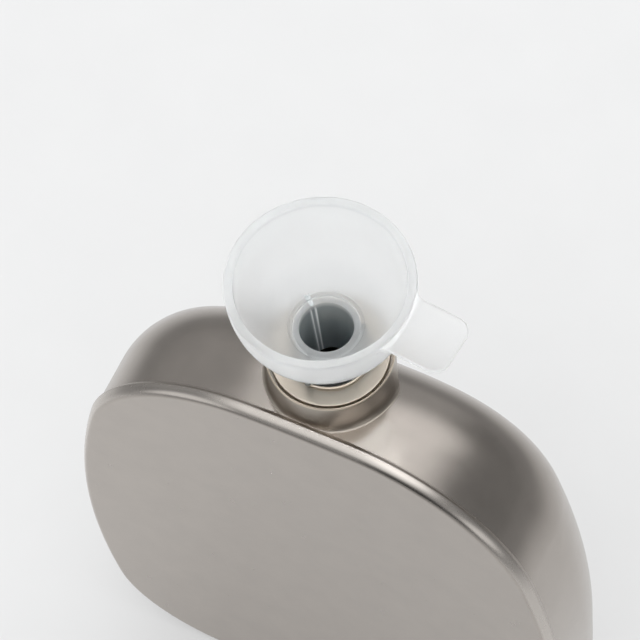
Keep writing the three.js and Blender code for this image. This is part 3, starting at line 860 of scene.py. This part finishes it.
def funnel_rib(angle):
    def stem_middle(z):
        return bore_radius(-BOWL_DEPTH - z) + STEM_WALL / 2

    tongue_foot = -SEAT_DEPTH - RIB_ENTRY
    top_reach = BORE_TOP_RADIUS + STEM_WALL + RIB_TOP_REACH
    seat_reach = MOUTH_RADIUS + RIB_SEAT_REACH
    tongue_reach = MOUTH_RADIUS - THREAD_RADIUS - RIB_ENTRY_CLEARANCE
    shape = [
        (stem_middle(tongue_foot), tongue_foot), (tongue_reach, tongue_foot), (tongue_reach, -SEAT_DEPTH),
        (seat_reach, -SEAT_DEPTH), (top_reach, bowl_middle(top_reach)),
        (stem_middle(-BOWL_DEPTH), -BOWL_DEPTH - BOWL_FLOOR / 2),
    ]
    corners, faces = extruded(shape, -RIB_WIDTH / 2, RIB_WIDTH / 2, RIB_WIDTH / 8)
    rib = new_object("rib", corners, faces)
    rib.data.transform(Matrix.Rotation(angle, 4, "Z") @ Matrix.Rotation(math.pi / 2, 4, "X"))
    return rib


def add_plastic_amounts(piece):
    """Stores where the funnel's plastic is milky, where shade is painted on it, and the painted lines and
    painted shade that show the rib behind it.
    """
    points = corner_array(piece)
    heights = points[:, 2]
    radius = np.hypot(points[:, 0], points[:, 1])
    angle = np.arctan2(points[:, 1], points[:, 0])
    beside = np.abs((angle - RIB_ANGLE + math.pi) % (2 * math.pi) - math.pi)
    half_rib = math.asin(RIB_WIDTH / 2 / BORE_TOP_RADIUS)
    under_bowl = -BOWL_DEPTH - BOWL_FLOOR
    bore_wall = bore_radius(-BOWL_DEPTH - heights)

    # Places below the bowl: the bore's wall, the ribs and the tube between them
    stem = 1 - smoothstep(heights, under_bowl, -BOWL_DEPTH - LEDGE_STEP)
    at_bore = radius < bore_wall + BORE_WITHIN
    bore = stem * at_bore
    ribs = stem * (radius > bore_wall + RIB_FROM)
    tube = stem - bore - ribs

    # Places of the bowl: its floor and ledge, its rim, its lower part and the upper part of its outer wall
    on_floor = (heights > -BOWL_DEPTH - BOWL_FLOOR / 2) & (radius < LEDGE_RADIUS + LEDGE_SHELF)
    on_ledge = on_floor & (radius < LEDGE_RADIUS)
    within = radius < RIM_RADIUS + RIM_EDGE
    on_rim = (heights > -RIM_EDGE) & within
    lower = (1 - smoothstep(heights, -SHADE_FULL * BOWL_DEPTH, -SHADE_START * BOWL_DEPTH)) * (1 - stem)
    below = np.clip(-heights, 0, BOWL_DEPTH)
    inner_wall = BOWL_RADIUS * bowl_curve(below / BOWL_HALF)
    outer_wall = RIM_RADIUS * bowl_curve(below / OUTER_HALF)
    outside = (radius > (inner_wall + outer_wall) / 2) & within & (heights < -RIM_EDGE / 2)
    upper = outside * smoothstep(heights, -MILK_END * BOWL_DEPTH, -MILK_FULL * BOWL_DEPTH)

    # Painted highlight lines where the rib's sides show through the bore's wall, and painted shade where its
    # top shows through the bowl's floor
    side = 1 - smoothstep(np.abs(beside - half_rib), LINE_TURN, 2 * LINE_TURN)
    # Painted highlight lines on the bore's wall along the rib's sides
    painted_rib_lines = side * (at_bore & (heights < under_bowl))
    painted_rib_shade = (1 - smoothstep(beside, half_rib / 2, half_rib)) * on_floor

    # Painted shade: full in the bore, less on the ribs, the rim, the tube and the lower bowl
    shades = [bore, RIB_SHADE * ribs, TUBE_SHADE * tube, RIM_SHADE * on_rim, LOWER_SHADE * lower]
    # Milky places, with the painted highlight lines
    milks_and_highlights = [painted_rib_lines, WALL_MILK * upper, TUBE_MILK * tube, LEDGE_MILK * on_ledge]
    add_amount(piece, "painted_shade", np.maximum.reduce(shades))
    add_amount(piece, "milk_and_highlights", np.maximum.reduce(milks_and_highlights))
    add_amount(piece, "painted_rib_shade", painted_rib_shade)


def funnel():
    piece = new_object("funnel_moulding", *funnel_bowl())
    combine(piece, funnel_tab(), "UNION")
    for i in range(RIB_COUNT):
        combine(piece, funnel_rib(RIB_ANGLE + 2 * math.pi * i / RIB_COUNT), "UNION")
    add_plastic_amounts(piece)
    piece.data.transform(Matrix.Translation((0, 0, RIM_TOP)))
    return piece


shell_finish = titanium("titanium_shell", SHELL_FINISH)
face_finish = titanium("titanium_face", FACE_FINISH)
neck_finish = titanium("titanium_neck", NECK_FINISH, turned_rings=True)
plastic = polypropylene("funnel_plastic")

dress(body_shell(), "flask", "body_shell", shell_finish, METAL_SHARP)
dress(face_plate(), "flask", "face_plate", face_finish, METAL_SHARP)
dress(neck_collar(), "flask", "neck_collar", neck_finish, METAL_SHARP)
dress(mouth_bush(), "flask", "mouth_bush", neck_finish, METAL_SHARP)
dress(funnel(), "funnel", "funnel", plastic, PLASTIC_SHARP)

# Floor, light and camera

half_floor = FLOOR_SIZE / 2
floor_corners = [(-half_floor, -half_floor, 0), (half_floor, -half_floor, 0),
                 (half_floor, half_floor, 0), (-half_floor, half_floor, 0)]
floor = new_object("floor", floor_corners, [(0, 1, 2, 3)])
floor.data.materials.append(floor_paper("floor_paper"))


def add_lamp(name, light, place, aim):
    lamp = bpy.data.objects.new(name, light)
    lamp.location = place
    lamp.rotation_euler = (Vector(aim) - Vector(place)).to_track_quat("-Z", "Y").to_euler()
    lamp.visible_camera = False
    bpy.context.scene.collection.objects.link(lamp)
    return lamp


def aimed(azimuth, elevation):
    """Direction from the flask; azimuth 0 is behind it, 90 to its right."""
    turn, rise = math.radians(azimuth), math.radians(elevation)
    return Vector((math.sin(turn) * math.cos(rise), math.cos(turn) * math.cos(rise), math.sin(rise)))


def sky_light():
    """Even light from above for the matt surfaces; the metal doesn't mirror it."""
    light = bpy.data.lights.new("sky_light", "SUN")
    light.energy = SKY_STRENGTH
    light.angle = SKY_ANGLE
    lamp = add_lamp("sky_light", light, SKY_PLACE, (0, 0, 0))
    lamp.visible_glossy = False


sky_light()


def patch(tree, place, azimuth, elevation, inner, outer):
    """One within the inner angle of a direction, fading to nothing at the outer angle."""
    node = add_node(tree, "ShaderNodeVectorMath", operation="DOT_PRODUCT")
    tree.links.new(place, node.inputs[0])
    node.inputs[1].default_value = aimed(azimuth, elevation)
    faint = math.cos(math.radians(outer))
    full = math.cos(math.radians(inner))
    level = ranged(tree, node.outputs["Value"], 0, 1, faint, full)
    level.node.interpolation_type = "SMOOTHSTEP"
    return level


def studio_world():
    """A dim room with patches of light; seen straight or through the plastic, a plain pale ground."""
    world = bpy.data.worlds.new("studio")
    world.use_nodes = True
    tree = world.node_tree
    background = tree.nodes["Background"]
    place = add_node(tree, "ShaderNodeTexCoord").outputs["Generated"]
    level = ROOM_LEVEL
    for azimuth, elevation, inner, outer, bright in ROOM_LIGHTS:
        glow = math_node(tree, "MULTIPLY", patch(tree, place, azimuth, elevation, inner, outer), bright)
        level = math_node(tree, "ADD", level, glow)
    azimuth, elevation, inner, outer, dark = ROOM_SHADE
    shade = math_node(tree, "MULTIPLY", patch(tree, place, azimuth, elevation, inner, outer), dark)
    level = math_node(tree, "MULTIPLY", level, math_node(tree, "SUBTRACT", 1, shade))
    ray = add_node(tree, "ShaderNodeLightPath").outputs
    clear_view = math_node(tree, "MAXIMUM", ray["Is Camera Ray"], ray["Is Transmission Ray"])
    seen = math_node(tree, "MULTIPLY", clear_view, GROUND_LEVEL)
    strength = math_node(tree, "MAXIMUM", level, seen)
    tree.links.new(strength, background.inputs["Strength"])
    background.inputs["Color"].default_value = (1, 1, 1, 1)
    bpy.context.scene.world = world


studio_world()


def photo_camera():
    e, r, a = CAMERA_ELEVATION, CAMERA_ROLL, CAMERA_TURN
    flat_right = Vector((1, 0, 0))
    flat_up = Vector((0, math.sin(e), math.cos(e)))
    forward = Vector((0, math.cos(e), -math.sin(e)))
    right = math.cos(r) * flat_right + math.sin(r) * flat_up
    up = -math.sin(r) * flat_right + math.cos(r) * flat_up
    offset = -(right * CAMERA_OFFSET.x + up * CAMERA_OFFSET.y + forward * CAMERA_OFFSET.z)
    turn = Matrix.Rotation(a, 3, "Z")
    data = bpy.data.cameras.new("photo_camera")
    data.sensor_width = SENSOR_MM
    data.lens = FOCAL_PIXELS / IMAGE_PIXELS * SENSOR_MM
    data.clip_start = CLIP_NEAR
    data.clip_end = CLIP_FAR
    camera = bpy.data.objects.new("photo_camera", data)
    axes = Matrix((turn @ right, turn @ up, turn @ -forward)).transposed()
    camera.matrix_world = Matrix.Translation(turn @ offset + Vector((0, 0, RIM_TOP))) @ axes.to_4x4()
    bpy.context.scene.collection.objects.link(camera)
    bpy.context.scene.camera = camera


photo_camera()
bpy.context.scene.view_settings.view_transform = "Standard"

bpy.context.view_layer.update()
